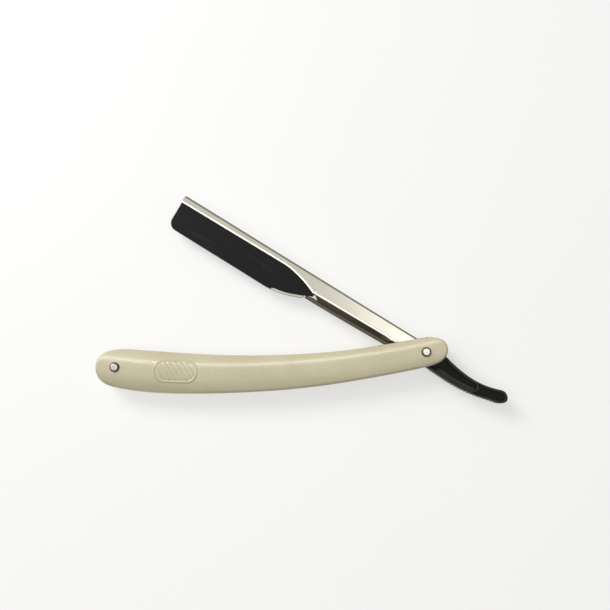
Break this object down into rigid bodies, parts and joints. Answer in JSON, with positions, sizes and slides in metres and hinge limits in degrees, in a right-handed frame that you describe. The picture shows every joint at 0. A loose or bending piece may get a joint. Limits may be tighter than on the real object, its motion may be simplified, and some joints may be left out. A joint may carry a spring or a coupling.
{
  "type": "straight razor",
  "caption": "Folding barber's razor: two crowned plastic scales, a folded steel arm with a curved plastic tang, and a slide-out holder for a disposable half blade.",
  "frame": {"origin": "on the pivot axis, at the flat of the back pivot rivet's head, which the razor lies on", "axes": "+Z along the pivot towards the front scale, +X from the tail rivet towards the pivot, +Y to the side the arm opens towards"},
  "size_m": [0.1707, 0.095, 0.0132],
  "materials": {
    "handle_plastic": "moulded bone-coloured plastic, satin gloss",
    "rivet_steel": "nickel-plated, bright",
    "washer_brass": "plain stamped brass",
    "arm_steel": "polished stainless sheet",
    "tang_plastic": "moulded black plastic, satin gloss",
    "holder_plastic": "moulded black plastic, matte"
  },
  "bodies": {
    "handle": {"front_scale": "handle_plastic", "back_scale": "handle_plastic", "tail_spacer": "handle_plastic", "pivot_rivet": "rivet_steel", "tail_rivet": "rivet_steel", "pivot_collar_front": "rivet_steel", "pivot_collar_back": "rivet_steel", "tail_collar_front": "rivet_steel", "tail_collar_back": "rivet_steel", "pivot_washer_front": "washer_brass", "pivot_washer_back": "washer_brass"},
    "arm": {"steel_arm": "arm_steel", "tang": "tang_plastic"},
    "holder": {"holder_front_leaf": "holder_plastic", "holder_back_leaf": "holder_plastic"}
  },
  "joints": [
    {"name": "arm_pivot", "type": "hinge", "parent": "handle", "child": "arm", "pos_m": [0, 0, 0], "axis": [0, 0, -1], "range_deg": [-31.8, 235.2]},
    {"name": "holder_slide", "type": "slide", "parent": "arm", "child": "holder", "axis": [-0.8211, 0.5707, 0], "range_m": [0, 0.088]}
  ]
}
